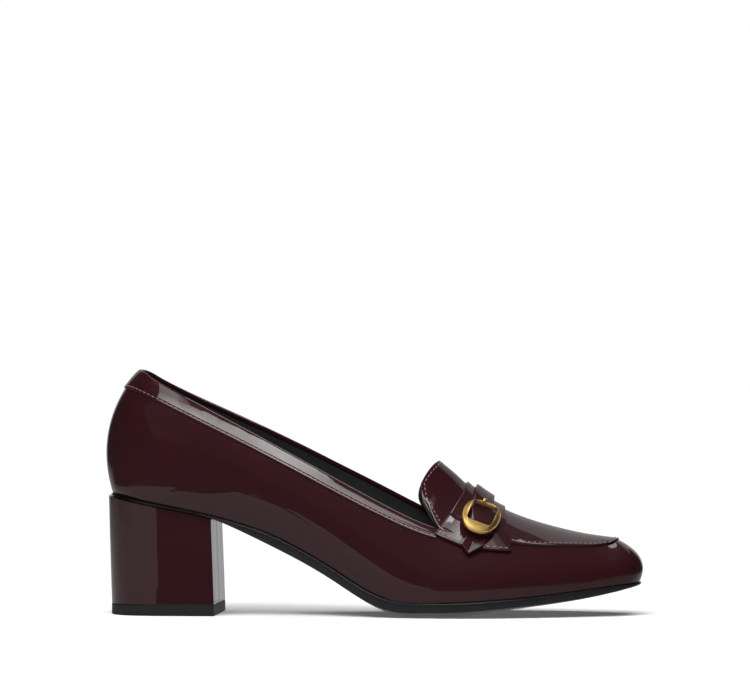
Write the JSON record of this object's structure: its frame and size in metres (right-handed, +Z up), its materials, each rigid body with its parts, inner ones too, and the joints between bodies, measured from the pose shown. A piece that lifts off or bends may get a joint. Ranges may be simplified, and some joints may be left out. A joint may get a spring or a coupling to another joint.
{
  "type": "pump shoe",
  "caption": "Right-foot loafer pump with a block heel, a hollow glossy upper, a raised apron with a standing tongue, and a buckled belt over its saddle strap.",
  "frame": {"origin": "on the floor, under the middle of the shoe's bounding box", "axes": "+X from the heel towards the toe, +Y towards the inner side of the foot, +Z up from the floor"},
  "size_m": [0.2494, 0.0796, 0.1138],
  "materials": {
    "oxblood_patent_leather": "high gloss",
    "black_lining_leather": "matt",
    "black_sole_leather": "satin",
    "black_tread_rubber": "matt",
    "gold_plated_brass": "polished"
  },
  "bodies": {
    "root": {"upper": "oxblood_patent_leather", "collar_binding": "oxblood_patent_leather", "saddle_strap": "oxblood_patent_leather", "belt": "oxblood_patent_leather", "heel": "oxblood_patent_leather", "insole": "black_lining_leather", "outsole": "black_sole_leather", "top_piece": "black_tread_rubber", "buckle": "gold_plated_brass", "buckle_prong": "gold_plated_brass"}
  },
  "joints": []
}
